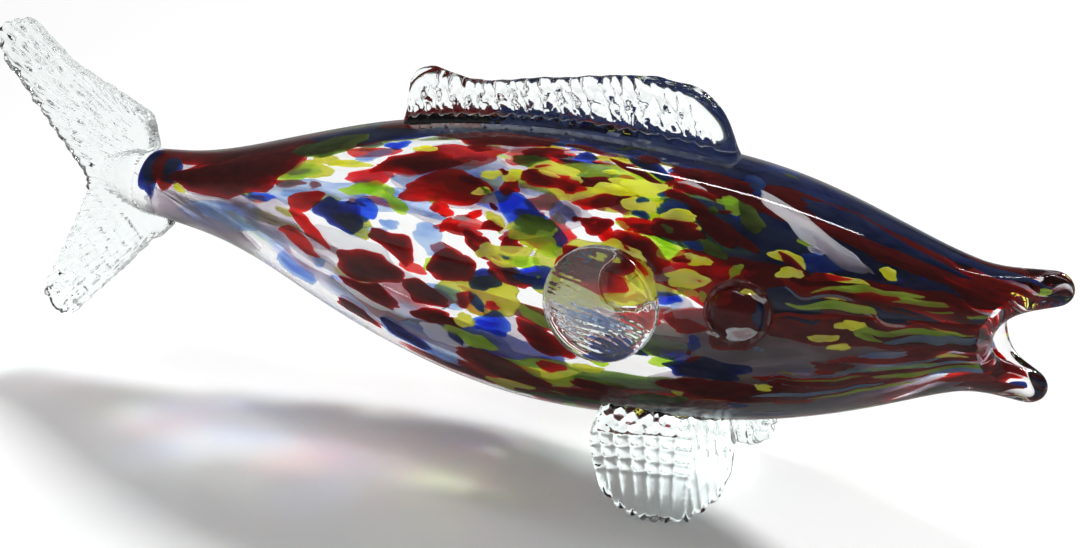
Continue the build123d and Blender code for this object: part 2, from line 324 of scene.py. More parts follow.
# Chip colours: the CAD chips that each belongs to, its bright and dark streaks and the share of light
# let through, then its colour in depth, the strength of that per metre, and the shade that it casts
PALETTE = {
    "red": ("red", (0.97, 0.09, 0.06), (0.88, 0.03, 0.03), 0.95,
        (0.9, 0.03, 0.06), 5400, (0.8, 0.3, 0.3)),
    "maroon": ("red", (0.86, 0.06, 0.06), (0.6, 0.03, 0.04), 0.95,
        (0.64, 0.05, 0.09), 6200, (0.6, 0.3, 0.3)),
    "cobalt": ("blue", (0.2, 0.42, 0.98), (0.06, 0.2, 0.92), 0.94,
        (0.08, 0.3, 0.9), 4000, (0.45, 0.55, 0.9)),
    "navy": ("blue", (0.2, 0.3, 0.75), (0.07, 0.12, 0.5), 0.95,
        (0.1, 0.2, 0.62), 4600, (0.35, 0.4, 0.65)),
    "sky": ("blue", (0.68, 0.82, 0.98), (0.4, 0.56, 0.88), 0.88,
        (0.3, 0.55, 0.9), 1100, (0.7, 0.8, 0.95)),
    "yellow": ("yellow", (0.99, 0.98, 0.24), (0.94, 0.94, 0.05), 0.56,
        (0.98, 0.97, 0.1), 1500, (0.97, 0.95, 0.55)),
    "lime": ("green", (0.85, 0.98, 0.2), (0.6, 0.88, 0.07), 0.84,
        (0.75, 0.92, 0.1), 2200, (0.75, 0.9, 0.4)),
    "olive": ("green", (0.4, 0.55, 0.12), (0.16, 0.26, 0.05), 0.9,
        (0.4, 0.55, 0.1), 3600, (0.45, 0.55, 0.3)),
    "milk": ("white", (0.99, 0.99, 0.99), (0.93, 0.94, 0.98), 0.78,
        (0.93, 0.94, 0.99), 150, (0.95, 0.95, 0.98)),
    "smoke": ("white", (0.86, 0.82, 0.86), (0.7, 0.66, 0.72), 0.93,
        (0.35, 0.25, 0.35), 1500, (0.7, 0.68, 0.72)),
}
CHIP_GLASS = {colour: chip_glass(colour + "_glass", *look[1:]) for colour, look in PALETTE.items()}

# Body: outer surface, round lips and hollow, as one closed wall
COLUMNS = 200
LOWER_SETBACK = 3.5
LIP_ROUND = 0.97
LIP_FLARE = 1.6
LIP_BULB = 0.5
HEAD_X = 150.0
# The root's end face: how far its round edge reaches along it, and the share of its width that is flat
CAP_EDGE = 2.2
CAP_FLAT = 0.82
# Rings of points along the skin, the lips, the round of their rims and the hollow
SKIN_RINGS = 130
LIP_RINGS = 44
RIM_RINGS = 16
HOLLOW_RINGS = 110
# Waves of the hand-blown wall: their size, and their height outside and inside
WAVE_SIZE = 46
SKIN_WAVE = 0.16
LINING_WAVE = 0.3
around = np.arange(COLUMNS) / COLUMNS * TURN

# Share of the lips' length at each angle, which leaves a round mouth between two tongues, and their ends
lip_rise = LIP_ROUND * np.abs(np.sin(around))
lip_share = (1 - np.sqrt(1 - lip_rise**2)) / (1 - math.sqrt(1 - LIP_ROUND**2))
upper = step(-0.3, 0.3, np.sin(around))
lip_end = MOUTH_X + lip_share * (TIP_X - LOWER_SETBACK * (1 - upper) - MOUTH_X)


def wavy(points, seed, height):
    """Points moved out and in from the body's axis a little, but not at the root and the mouth."""
    wave = height * ripple(points * (0.6, 1, 1), seed, WAVE_SIZE)[..., None]
    wave = wave * step(-120, -70, points[..., :1]) * step(165, 120, points[..., :1])
    axis = np.stack([points[..., 0], 0 * points[..., 0], middle_of(points[..., 0])], -1)
    away = points - axis
    return points + wave * away / np.maximum(np.linalg.norm(away, axis=-1, keepdims=True), 1)


def cap_ring(share, x):
    """Ring of points of the root's end at x, at a share of its width."""
    ring = skin(np.full(COLUMNS, ROOT_X + CAP_EDGE), around)
    ring[:, 1:] = (ring[:, 1:] - (0, ROOT_Z)) * share + (0, ROOT_Z)
    ring[:, 0] = x
    return ring


def lip_rings(x, swell):
    """Outer and inner rings of points at x, the lips curled out and thicker by the swell."""
    curl = swell * lip_share * np.sin(around)
    outer = skin(x, around)
    outer[:, 2] = outer[:, 2] + (LIP_FLARE + LIP_BULB) * curl
    inner = lining(x, around)
    inner[:, 2] = inner[:, 2] + (LIP_FLARE - LIP_BULB) * curl
    return outer, inner


def lip_rings_at(t):
    """The same, at a share of the way from the head to the rim."""
    return lip_rings(HEAD_X + t * (rim_x - HEAD_X), step(0.55, 1.0, t))


# The rim lies half the wall's thickness behind the lips' ends, which takes a few rounds to settle
rim_x = np.full(COLUMNS, MOUTH_X)
for settling in range(5):
    outer_rim, inner_rim = lip_rings(rim_x, 1.0)
    rim_out = (outer_rim - inner_rim) / 2
    rim_x = lip_end - np.linalg.norm(rim_out, axis=-1)
rim_middle = (outer_rim + inner_rim) / 2
rows = []
for share in (0.3, 0.6, CAP_FLAT):
    rows.append(cap_ring(share, ROOT_X))
for quarter in np.linspace(0.25, 1, 4):
    turn = quarter * math.pi / 2
    share = CAP_FLAT + (1 - CAP_FLAT) * math.sin(turn)
    rows.append(cap_ring(share, ROOT_X + CAP_EDGE * (1 - math.cos(turn))))
for t in np.linspace(0, 1, SKIN_RINGS)[1:]:
    ring_x = np.full(COLUMNS, ROOT_X + CAP_EDGE + t * (HEAD_X - ROOT_X - CAP_EDGE))
    rows.append(wavy(skin(ring_x, around), 31, SKIN_WAVE))
for t in np.linspace(0, 1, LIP_RINGS)[1:]:
    rows.append(lip_rings_at(t)[0])
for turn in np.linspace(0, math.pi, RIM_RINGS)[1:-1]:
    ring = rim_middle + math.cos(turn) * rim_out
    ring[:, 0] = ring[:, 0] + math.sin(turn) * np.linalg.norm(rim_out, axis=-1)
    rows.append(ring)
for t in np.linspace(1, 0, LIP_RINGS)[:-1]:
    rows.append(lip_rings_at(t)[1])
for t in np.linspace(1, 0, HOLLOW_RINGS):
    ring_x = np.full(COLUMNS, HOLLOW_END_X + t * (HEAD_X - HOLLOW_END_X))
    rows.append(wavy(lining(ring_x, around), 37, LINING_WAVE))
for degrees in (30, 60, 80):
    turn = math.radians(degrees)
    ring = lining(np.full(COLUMNS, HOLLOW_END_X), around)
    ring[:, 1:] = (ring[:, 1:] - (0, HOLLOW_END_Z)) * math.cos(turn) + (0, HOLLOW_END_Z)
    ring[:, 0] = HOLLOW_END_X - HOLLOW_END_ROUND * math.sin(turn)
    rows.append(ring)
end_points = [(ROOT_X, 0, ROOT_Z), (HOLLOW_END_X - HOLLOW_END_ROUND, 0, HOLLOW_END_Z)]
body = add_piece(
    "blown_body",
    np.concatenate([*rows, end_points]),
    shell_faces(len(rows), COLUMNS),
    ("clear_casing", "clear_bubble"),
    [body_glass],
)

# Chips: flat drops of coloured glass, drawn out along the body and sunk in its wall
CHIP_SIDES = 36
CHIP_RINGS = (0.0, 0.3, 0.58, 0.8, 0.94, 1.0)
# Uneven outline of a chip: how many lobes there are round it, and how far they stand out
CHIP_LOBES = ((2, 0.09), (3, 0.1), (5, 0.06), (8, 0.04))
RUN_ALONG = 2.2
RUN_ROUND = 1.5
RIM_GAP = 1.2
ROOT_GAP = 2.5
CHIP_NODES = ("red", "blue", "yellow", "green", "white")
chip_points = {node: [] for node in CHIP_NODES}
chip_faces = {node: [] for node in CHIP_NODES}
chip_looks = {node: [] for node in CHIP_NODES}
chip_rng = np.random.default_rng(7)


def lay_chip(colour, x, angle, shape, thickness, depth):
    """Adds one chip. Its shape maps a unit circle to distances along and round the body."""
    phases = chip_rng.random(4) * TURN
    turn = np.arange(CHIP_SIDES) / CHIP_SIDES * TURN
    reach = 1
    for (lobes, height), phase in zip(CHIP_LOBES, phases):
        reach = reach + height * np.sin(lobes * turn + phase)
    outline = np.stack([reach * np.cos(turn), reach * np.sin(turn)], -1) @ np.asarray(shape).T
    girth = girth_of(x)
    shares = np.array(CHIP_RINGS)[:, None]
    station = x + shares * outline[:, 0]
    bearing = angle + shares * outline[:, 1] / girth
    place = skin(station, bearing)
    station = station + RUN_ALONG * ripple(place, 41, 15)
    bearing = bearing + RUN_ROUND * ripple(place, 43, 19) / girth
    furthest = np.interp(bearing % TURN, around, rim_x, period=TURN) - RIM_GAP
    station = np.clip(station, ROOT_X + ROOT_GAP, furthest)
    swell = thickness / 2 * (1 - shares**2) ** 0.9
    swell = swell * (1 + 0.45 * ripple(skin(station, bearing) * (0.35, 1, 1), 23, 9))
    top = skin(station, bearing, depth - swell)
    bottom = skin(station, bearing, depth + swell)
    rings = [*top[1:], *bottom[-2:0:-1]]
    node = PALETTE[colour][0]
    start = sum(len(points) for points in chip_points[node])
    faces = shell_faces(len(rings), CHIP_SIDES, start)
    chip_points[node].append(np.concatenate([*rings, top[0, :1], bottom[0, :1]]))
    chip_faces[node].extend(faces)
    chip_looks[node].extend([colour] * len(faces))


def lay_band(colour, x, angle, half_length, half_width, thickness, depth):
    """Adds one chip that lies straight along the body, at an angle in degrees."""
    lay_chip(colour, x, math.radians(angle), ((half_length, 0), (0, half_width)), thickness, depth)


# The skin as the camera sees it
GRID_ROWS = 500
GRID_COLUMNS = 480
LEAST_FACING = 0.12
UNSEEN = 1e4
grid_stations = np.linspace(ROOT_X, MOUTH_X, GRID_ROWS)
grid_x, grid_angle = np.meshgrid(grid_stations, np.linspace(0, TURN, GRID_COLUMNS), indexing="ij")
grid_points = skin(grid_x, grid_angle)
grid_out = np.cross(np.gradient(grid_points, axis=1), np.gradient(grid_points, axis=0))
grid_out /= np.linalg.norm(grid_out, axis=-1, keepdims=True)
grid_view = camera_place - grid_points
grid_view /= np.linalg.norm(grid_view, axis=-1, keepdims=True)
# On top of the body, the way out is up
outward = np.sign(grid_out[GRID_ROWS // 2, GRID_COLUMNS // 4, 2])
facing = outward * (grid_out * grid_view).sum(-1)
grid_picture = to_picture(grid_points)


def seen_chip(colour, across, down, length, width, tilt, thickness, depth):
    """Adds a chip where the camera sees it at a point of the picture, and its like on the far side."""
    miss = np.hypot(grid_picture[..., 0] - across, grid_picture[..., 1] - down)
    miss = miss + UNSEEN * (facing < LEAST_FACING)
    i, j = np.unravel_index(np.argmin(miss), miss.shape)
    i = min(max(i, 1), GRID_ROWS - 2)
    j = min(max(j, 1), GRID_COLUMNS - 2)
    x = grid_x[i, j]
    angle = grid_angle[i, j]
    per_along = (grid_picture[i + 1, j] - grid_picture[i - 1, j]) / (grid_x[i + 1, j] - grid_x[i - 1, j])
    spread = (grid_angle[i, j + 1] - grid_angle[i, j - 1]) * girth_of(x)
    per_round = (grid_picture[i, j + 1] - grid_picture[i, j - 1]) / spread
    slope = math.radians(tilt)
    long_way = length * np.array((math.cos(slope), -math.sin(slope)))
    wide_way = width * np.array((math.sin(slope), math.cos(slope)))
    shape = np.linalg.solve(np.stack([per_along, per_round], -1), np.stack([long_way, wide_way], -1) / 2)
    lay_chip(colour, x, angle, shape, thickness, depth)
    rear = step(40, 0, x)
    far_shape = shape * (0.8 + 0.3 * chip_rng.random()) * (1 - 0.25 * rear)
    far_shape[1] = -far_shape[1]
    far_x = x + 7 * chip_rng.normal()
    far_angle = math.pi - angle + 0.1 * chip_rng.normal()
    lay_chip(colour, far_x, far_angle, far_shape, thickness * (0.8 - 0.3 * rear), depth)


# Chips as the camera sees them: colour, place in the picture, length, width, tilt and thickness in the
# wall. The depth of each colour's layer follows them.
SEEN_CHIPS = (
    ("navy", 168, 165, 34, 17, 60, 1.5),
    ("maroon", 229, 174, 126, 42, 8, 1.5),
    ("yellow", 177, 188, 14, 7, -40, 0.6),
    ("cobalt", 259, 198, 28, 9, 0, 0.5),
    ("sky", 291, 192, 26, 11, 8, 0.4),
    ("red", 302, 201, 40, 22, 15, 0.7),
    ("navy", 336, 213, 48, 34, -15, 1.5),
    ("cobalt", 361, 210, 28, 26, -30, 0.6),
    ("red", 306, 228, 52, 12, -45, 0.6),
    ("red", 294, 240, 48, 13, -35, 0.5),
    ("sky", 313, 261, 13, 8, -30, 0.5),
    ("sky", 294, 271, 46, 12, -32, 0.9),
    ("lime", 360, 188, 40, 11, 0, 0.6),
    ("yellow", 347, 161, 36, 9, 0, 0.6),
    ("olive", 330, 143, 86, 14, 12, 1.4),
    ("maroon", 415, 160, 96, 20, 4, 1.0),
    ("red", 441, 186, 94, 34, 0, 0.9),
    ("red", 441, 208, 22, 14, 0, 0.5),
    ("red", 446, 224, 23, 12, 30, 0.5),
    ("red", 469, 214, 17, 9, 0, 0.5),
    ("maroon", 487, 226, 24, 9, 5, 0.7),
    ("red", 509, 185, 25, 20, 0, 1.2),
    ("cobalt", 524, 214, 84, 32, -38, 0.8),
    ("lime", 372, 189, 46, 14, -8, 0.5),
    ("lime", 393, 201, 32, 11, -40, 0.5),
    ("sky", 389, 221, 20, 9, -10, 0.6),
    ("maroon", 391, 244, 54, 22, -40, 1.1),
    ("sky", 428, 241, 42, 26, -30, 0.45),
    ("maroon", 365, 269, 66, 33, -14, 1.4),
    ("maroon", 449, 266, 41, 34, 10, 1.4),
    ("maroon", 479, 247, 48, 18, -38, 1.2),
    ("maroon", 511, 241, 19, 18, -30, 1.2),
    ("lime", 537, 244, 42, 20, -30, 0.5),
    ("yellow", 515, 173, 38, 13, 0, 0.7),
    ("cobalt", 539, 170, 30, 8, -12, 0.7),
    ("cobalt", 542, 180, 20, 7, -10, 0.9),
    ("navy", 446, 128, 62, 8, 2, 1.2),
    ("maroon", 499, 134, 130, 12, -3, 1.4),
    ("cobalt", 398, 142, 26, 9, 5, 0.9),
    ("sky", 375, 151, 38, 8, 8, 0.7),
    ("smoke", 524, 143, 90, 10, -4, 0.7),
    ("yellow", 424, 147, 22, 6, 5, 0.6),
    ("navy", 481, 281, 36, 22, -25, 1.0),
    ("maroon", 504, 274, 48, 18, -30, 1.0),
    ("maroon", 422, 294, 50, 23, -25, 1.4),
    ("maroon", 369, 296, 72, 14, -28, 1.1),
    ("maroon", 430, 319, 38, 17, -15, 1.2),
    ("red", 459, 298, 23, 19, -10, 0.9),
    ("cobalt", 474, 302, 27, 11, -60, 0.8),
    ("cobalt", 491, 329, 42, 23, -20, 0.7),
    ("red", 489, 310, 15, 10, -20, 0.7),
    ("yellow", 462, 321, 25, 15, -20, 0.6),
    ("lime", 470, 342, 56, 12, -22, 0.6),
    ("navy", 455, 342, 25, 9, -40, 1.2),
    ("lime", 535, 319, 42, 13, -35, 0.6),
    ("maroon", 541, 344, 68, 24, -32, 1.2),
    ("maroon", 501, 373, 112, 15, -22, 1.6),
    ("red", 549, 370, 32, 9, -15, 0.7),
    ("yellow", 585, 371, 30, 9, -10, 0.7),
    ("navy", 403, 338, 52, 10, -32, 1.1),
    ("maroon", 357, 315, 42, 8, -32, 1.3),
    ("olive", 652, 402, 60, 10, -5, 1.0),
    ("maroon", 600, 392, 60, 10, -12, 1.3),
    ("maroon", 596, 225, 25, 17, -5, 1.3),
    ("red", 606, 235, 36, 13, -40, 0.8),
    ("smoke", 571, 208, 36, 17, -35, 0.8),
    ("yellow", 583, 191, 38, 19, -10, 0.7),
    ("yellow", 557, 189, 28, 13, -20, 0.6),
    ("maroon", 610, 199, 34, 12, 15, 0.6),
    ("yellow", 625, 181, 36, 13, -15, 0.7),
    ("maroon", 586, 177, 40, 9, -3, 1.2),
    ("yellow", 637, 204, 36, 19, -10, 0.7),
    ("cobalt", 671, 206, 35, 14, -10, 0.9),
    ("maroon", 680, 196, 42, 9, -18, 1.2),
    ("maroon", 649, 227, 46, 11, -4, 1.3),
    ("yellow", 684, 227, 26, 13, -15, 0.6),
    ("lime", 733, 202, 24, 16, -40, 0.7),
    ("olive", 750, 215, 40, 18, -58, 1.5),
    ("maroon", 717, 227, 84, 22, -38, 1.3),
    ("olive", 705, 247, 42, 16, -25, 1.5),
    ("lime", 731, 270, 19, 13, 20, 0.5),
    ("yellow", 694, 263, 30, 11, -8, 0.6),
    ("sky", 635, 243, 30, 8, -8, 0.7),
    ("cobalt", 646, 252, 30, 7, -8, 0.6),
    ("smoke", 655, 270, 40, 26, -30, 0.5),
    ("red", 692, 287, 34, 18, -20, 0.9),
    ("navy", 587, 135, 82, 10, -10, 1.4),
    ("navy", 651, 163, 48, 14, -36, 1.4),
    ("maroon", 637, 170, 52, 9, -30, 1.2),
    ("red", 673, 182, 27, 8, -20, 0.6),
    ("milk", 694, 186, 26, 10, -20, 0.6),
    ("maroon", 918, 264, 190, 18, -24, 1.3),
    ("navy", 880, 232, 196, 18, -28, 1.6),
    ("milk", 811, 230, 118, 19, -36, 0.9),
    ("cobalt", 756, 178, 34, 18, -40, 1.0),
    ("maroon", 942, 305, 112, 26, -18, 1.6),
    ("navy", 795, 303, 60, 36, -10, 1.6),
    ("yellow", 787, 272, 30, 11, 10, 0.6),
    ("maroon", 790, 262, 36, 12, -35, 1.2),
    ("yellow", 845, 276, 46, 8, -20, 0.6),
    ("lime", 855, 293, 42, 8, -18, 0.6),
    ("yellow", 831, 296, 25, 9, -25, 0.6),
    ("red", 850, 306, 62, 11, -20, 0.8),
    ("yellow", 850, 327, 33, 9, -8, 0.6),
    ("lime", 865, 339, 36, 8, -10, 0.6),
    ("yellow", 836, 351, 30, 6, 4, 0.6),
    ("milk", 894, 325, 62, 4, -22, 0.6),
    ("yellow", 933, 330, 52, 3.5, -12, 0.6),
    ("sky", 911, 346, 42, 6, -8, 0.6),
    ("yellow", 945, 358, 52, 5, -8, 0.6),
    ("yellow", 891, 271, 22, 11, -35, 0.6),
    ("cobalt", 897, 276, 16, 8, -35, 0.6),
    ("red", 913, 296, 18, 7, -45, 0.4),
    ("smoke", 800, 366, 190, 44, -3, 0.35),
    ("lime", 830, 383, 90, 4, 3, 0.6),
    ("maroon", 870, 381, 120, 7, 2, 1.2),
    ("milk", 800, 388, 60, 4, 2, 0.6),
    ("yellow", 762, 392, 32, 6, -10, 0.6),
    # Painted reflection: this smoke chip and the large one further on stand in for the shaded floor mirrored
    # under the eye
    ("smoke", 700, 330, 80, 40, -40, 0.3),
    ("cobalt", 690, 345, 20, 14, -60, 0.7),
    ("maroon", 733, 306, 62, 56, -30, 1.3),
    ("milk", 744, 324, 22, 9, 25, 0.9),
    ("navy", 752, 304, 18, 26, -20, 0.9),
    ("maroon", 588, 263, 78, 34, -8, 1.4),
    ("milk", 584, 306, 76, 40, -20, 0.6),
    ("sky", 600, 322, 60, 18, -20, 0.7),
    ("navy", 612, 350, 66, 16, -10, 1.3),
    ("navy", 700, 375, 90, 22, -8, 1.5),
    # Painted reflection of the shaded floor under the eye
    ("smoke", 745, 352, 130, 50, -10, 1.0),
    ("smoke", 880, 368, 190, 34, -4, 1.2),
    ("maroon", 905, 340, 130, 20, -12, 1.2),
    ("navy", 900, 318, 120, 16, -18, 1.2),
    ("milk", 870, 321, 60, 3, -24, 0.7),
    ("red", 884, 306, 56, 6, -24, 0.7),
    ("maroon", 640, 250, 60, 34, -30, 0.9),
    ("smoke", 250, 215, 150, 14, -22, 0.35),
    ("smoke", 300, 252, 150, 12, -30, 0.3),
)
CHIP_LAYER = {"white": 3.2, "red": 2.7, "blue": 2.9, "yellow": 2.2, "green": 2.4}
for colour, across, down, length, width, tilt, thickness in SEEN_CHIPS:
    depth = CHIP_LAYER[PALETTE[colour][0]] + 0.3 * chip_rng.random()
    seen_chip(colour, across, down, length, width, tilt, thickness, depth)

# Long streaks that the head's colours are drawn out into, paler under the chin: colour, angle and
# thickness, then their place, half length, half width and depth
HEAD_STREAKS = (
    ("maroon", 8, 0.9),
    ("navy", 32, 0.8),
    ("maroon", 58, 1.0),
    ("navy", 84, 1.1),
    ("maroon", 108, 1.0),
    ("navy", 134, 0.8),
    ("maroon", 158, 1.1),
    ("maroon", 182, 1.0),
    ("smoke", 206, 1.6),
    ("smoke", 232, 1.5),
    ("maroon", 258, 0.7),
    ("smoke", 284, 1.5),
    ("smoke", 310, 1.6),
    ("maroon", 336, 1.0),
)
HEAD_STREAK_X = 134
HEAD_STREAK_LENGTH = 44
HEAD_STREAK_WIDTH = 9
HEAD_STREAK_DEPTH = 3.6
for colour, angle, thickness in HEAD_STREAKS:
    x = HEAD_STREAK_X + 6 * chip_rng.normal()
    lay_band(colour, x, angle, HEAD_STREAK_LENGTH, HEAD_STREAK_WIDTH, thickness, HEAD_STREAK_DEPTH)

# Dark bands along the back and the belly: colour, place, angle, half length and half width
BACK_BANDS = (
    ("maroon", -85, 95, 46, 9),
    ("olive", -60, 80, 40, 7),
    ("navy", -25, 100, 36, 7),
    ("maroon", 5, 84, 44, 8),
    ("navy", 45, 96, 44, 8),
    ("maroon", 60, 78, 36, 7),
    ("navy", 95, 90, 40, 9),
    ("maroon", -20, 262, 44, 10),
    ("navy", 5, 280, 40, 9),
    ("maroon", 45, 258, 48, 10),
    ("olive", 70, 275, 36, 8),
    ("maroon", 105, 268, 46, 9),
    ("maroon", 30, 229, 34, 4),
    ("olive", 58, 233, 30, 5),
    ("maroon", 86, 226, 36, 5),
    ("navy", 104, 236, 40, 6),
    ("maroon", 128, 214, 40, 5),
    ("maroon", 30, 311, 34, 4),
    ("olive", 58, 307, 30, 5),
    ("maroon", 86, 314, 36, 5),
    ("navy", 104, 304, 40, 6),
    ("maroon", 128, 326, 40, 5),
    ("navy", -126, 128, 5, 13),
    ("maroon", -126, 20, 5, 8),
)
BAND_THICKNESS = 1.3
BAND_DEPTH = 3.4
for colour, x, angle, half_length, half_width in BACK_BANDS:
    lay_band(colour, x, angle, half_length, half_width, BAND_THICKNESS, BAND_DEPTH)

# Scattered chips are dark along the back, where the sine of their bearing is above a value
BACK_COLOURS = ("navy", "maroon", "olive", "maroon")
BACK_SINE = 0.86
FIN_SINE = 0.9


def back_colour(colour, number, bearing, sine):
    """The colour of a scattered chip, or a dark one along the back."""
    if math.sin(bearing) > sine:
        return BACK_COLOURS[number % len(BACK_COLOURS)]
    return colour


# Pale clouds under the other chips
CLOUDS = 54
CLOUD_DEPTH = 4.1
REAR_END = 25
REAR_CLOUDS = ("milk", "sky", "smoke")
FRONT_CLOUDS = ("smoke", "yellow", "milk", "lime", "yellow", "sky")
for number in range(CLOUDS):
    shape = ((14 + 14 * chip_rng.random(), 0), (2 * chip_rng.normal(), 5 + 4 * chip_rng.random()))
    x = -90 + 210 * chip_rng.random()
    clouds = REAR_CLOUDS if x < REAR_END else FRONT_CLOUDS
    bearing = TURN * chip_rng.random()
    colour = back_colour(clouds[number % len(clouds)], number, bearing, BACK_SINE)
    lay_chip(colour, x, bearing, shape, 0.1 + 0.12 * chip_rng.random(), CLOUD_DEPTH)

# Small chips scattered all round, in the rear only on the far side, and finer in the head
FILL_CHIPS = 190
FILL_DEPTH = 3.0
SEEN_END = 15
FILL_COLOURS = ("red", "cobalt", "yellow", "maroon", "lime", "red", "yellow", "milk", "maroon", "sky")
for number in range(FILL_CHIPS):
    half = 2.2 + 5 * chip_rng.random() ** 2
    shape = ((half * 1.6, 0), (0.3 * chip_rng.normal(), half * 0.7))
    x = -100 + 265 * chip_rng.random()
    bearing = TURN * chip_rng.random()
    if x < SEEN_END:
        bearing = bearing / 2 - math.pi / 2
    colour = back_colour(FILL_COLOURS[number % len(FILL_COLOURS)], number, bearing, BACK_SINE)
    finer = 1 - 0.5 * step(95, 125, x)
    lay_chip(colour, x, bearing, np.array(shape) * finer, 0.4 + 0.6 * chip_rng.random(), FILL_DEPTH)


def on_either_side(number, flank):
    """A bearing on the near flank, or its like on the far one, in turn."""
    return flank if number % 2 else math.pi - flank


# Speckles on the upper flanks
SPECKLES = 150
SPECKLE_COLOURS = ("yellow", "maroon", "yellow", "olive", "lime", "cobalt", "maroon", "yellow", "red")
for number in range(SPECKLES):
    half = 1.2 + 4.2 * chip_rng.random() ** 2
    shape = ((half * 1.7, 0), (0.4 * chip_rng.normal(), half * 0.7))
    tone = chip_rng.random()
    bearing = on_either_side(number, math.radians(105 + 65 * chip_rng.random()))
    colour = back_colour(SPECKLE_COLOURS[number % len(SPECKLE_COLOURS)], number, bearing, FIN_SINE)
    lay_chip(colour, 22 + 85 * chip_rng.random(), bearing, shape, 0.4 + 0.6 * tone, 1.9 + 0.5 * tone)

# Thin streaks towards the mouth, and in the lips
FLANK_STREAKS = 64
STREAK_COLOURS = ("yellow", "red", "milk", "maroon", "yellow", "sky", "red", "lime")
for number in range(FLANK_STREAKS):
    half = 6 + 13 * chip_rng.random()
    shape = ((half, 0), (0.5 * chip_rng.normal(), 0.5 + 1.1 * chip_rng.random()))
    colour = STREAK_COLOURS[number % len(STREAK_COLOURS)]
    bearing = on_either_side(number, math.radians(140 + 80 * chip_rng.random()))
    lay_chip(colour, 130 + 48 * chip_rng.random(), bearing, shape, 0.5, 1.7 + 0.6 * chip_rng.random())
LIP_COLOURS = ("maroon", "red", "maroon", "milk", "navy", "maroon", "red", "maroon")
LIP_STREAKS = 48
for number in range(LIP_STREAKS):
    half = 8 + 6 * chip_rng.random()
    shape = ((half, 0), (0, 1.2 + 1.3 * chip_rng.random()))
    bearing = TURN * (number + 0.6 * chip_rng.random()) / LIP_STREAKS
    clear_tip = 8 * step(0.7, 0.95, math.sin(bearing))
    x = np.interp(bearing, around, rim_x, period=TURN) - clear_tip - 0.55 * half
    lay_chip(LIP_COLOURS[number % len(LIP_COLOURS)], x, bearing, shape, 1.0, 2.6 + 2.2 * (number % 2))
lay_band("lime", 193, 96, 3, 3, 1.2, 3.4)

# Dark bands close under the dorsal fin: colour, place along the back, half length and half width
FIN_BANDS = (("maroon", -2, 24, 6.5), ("navy", 36, 32, 6.5), ("navy", 80, 32, 7))
FIN_BAND_THICKNESS = 1.1
FIN_BAND_DEPTH = 1.7
for colour, x, half_length, half_width in FIN_BANDS:
    lay_band(colour, x, 90, half_length, half_width, FIN_BAND_THICKNESS, FIN_BAND_DEPTH)

# Pale streak close under the skin of the head
seen_chip("milk", 806, 226, 132, 19, -37, 0.45, 1.4)
seen_chip("smoke", 838, 252, 90, 13, -34, 0.35, 1.3)

# Colours that run into the root: colour, place, angle, half length, half width and thickness
ROOT_CHIPS = (
    ("maroon", -120, 122, 8, 12, 1.2),
    ("maroon", -120, 58, 8, 12, 1.2),
    ("smoke", -113, 200, 17, 8, 0.4),
    ("smoke", -113, 340, 17, 8, 0.4),
    ("smoke", -88, 215, 20, 6, 0.25),
    ("smoke", -88, 325, 20, 6, 0.25),
)
ROOT_DEPTH = 3.3
for colour, x, angle, half_length, half_width, thickness in ROOT_CHIPS:
    lay_band(colour, x, angle, half_length, half_width, thickness, ROOT_DEPTH)

# Chips under each eye, some of them painted glints: colour, place along and up from its middle, half length,
# half width and thickness
EYE_CHIPS_AND_GLINTS = (
    ("maroon", 0, 0, 9.6, 9.6, 1.2),
    ("red", -4, 3.5, 3.6, 1.8, 0.5),
    # Painted glints: the milk and yellow chips from here on stand in for highlights in the bead
    ("milk", 4.8, 4.6, 2.8, 1.0, 0.5),
    ("yellow", 2.6, 5.2, 1.8, 1.0, 0.5),
    ("milk", 1.0, -3.4, 2.8, 1.6, 0.5),
    ("navy", 5.2, 0.4, 2.0, 2.6, 0.5),
    ("milk", -5.0, -5.2, 2.6, 0.7, 0.5),
)
eye_low, eye_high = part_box("left_eye")
eye_x = (eye_low[0] + eye_high[0]) / 2 / MM
eye_z = (eye_low[2] + eye_high[2]) / 2 / MM
eye_girth = girth_of(eye_x)
eye_angle = math.asin((eye_z - middle_of(eye_x)) / (height_of(eye_x) / 2))
for colour, ahead, upward, half_length, half_width, thickness in EYE_CHIPS_AND_GLINTS:
    shape = ((half_length, 0), (0, half_width))
    bearing = eye_angle + upward / eye_girth
    for side_bearing in (bearing, math.pi - bearing):
        lay_chip(colour, eye_x + ahead, side_bearing, shape, thickness, 0.4 + 0.9 * thickness)

# Dark bands on the far side of the dorsal fin's foot: place along the back, angle, half length and half width
FAR_BANDS = ((30, 71, 26, 6.5), (62, 69, 26, 7), (88, 71, 24, 7), (58, 53, 30, 5))
for x, angle, half_length, half_width in FAR_BANDS:
    lay_band("navy", x, angle, half_length, half_width, FIN_BAND_THICKNESS, FIN_BAND_DEPTH)

for node in CHIP_NODES:
    looks = [colour for colour, look in PALETTE.items() if look[0] == node]
    chips = add_piece(
        node + "_glass_chips",
        np.concatenate(chip_points[node]),
        chip_faces[node],
        (node + "_chips",),
        [CHIP_GLASS[colour] for colour in looks],
    )
    chips.data.polygons.foreach_set("material_index", [looks.index(colour) for colour in chip_looks[node]])

# Bits of glass melted onto the body: how far they sink into it, from what height above it, how far
# behind the root's face they may be joined, and how deep a face is that lies inside the joint
JOIN_DEPTH = 1.1
JOIN_REACH = 2.2
JOIN_BEHIND = 0.8
SUNK = -0.1
bits = []


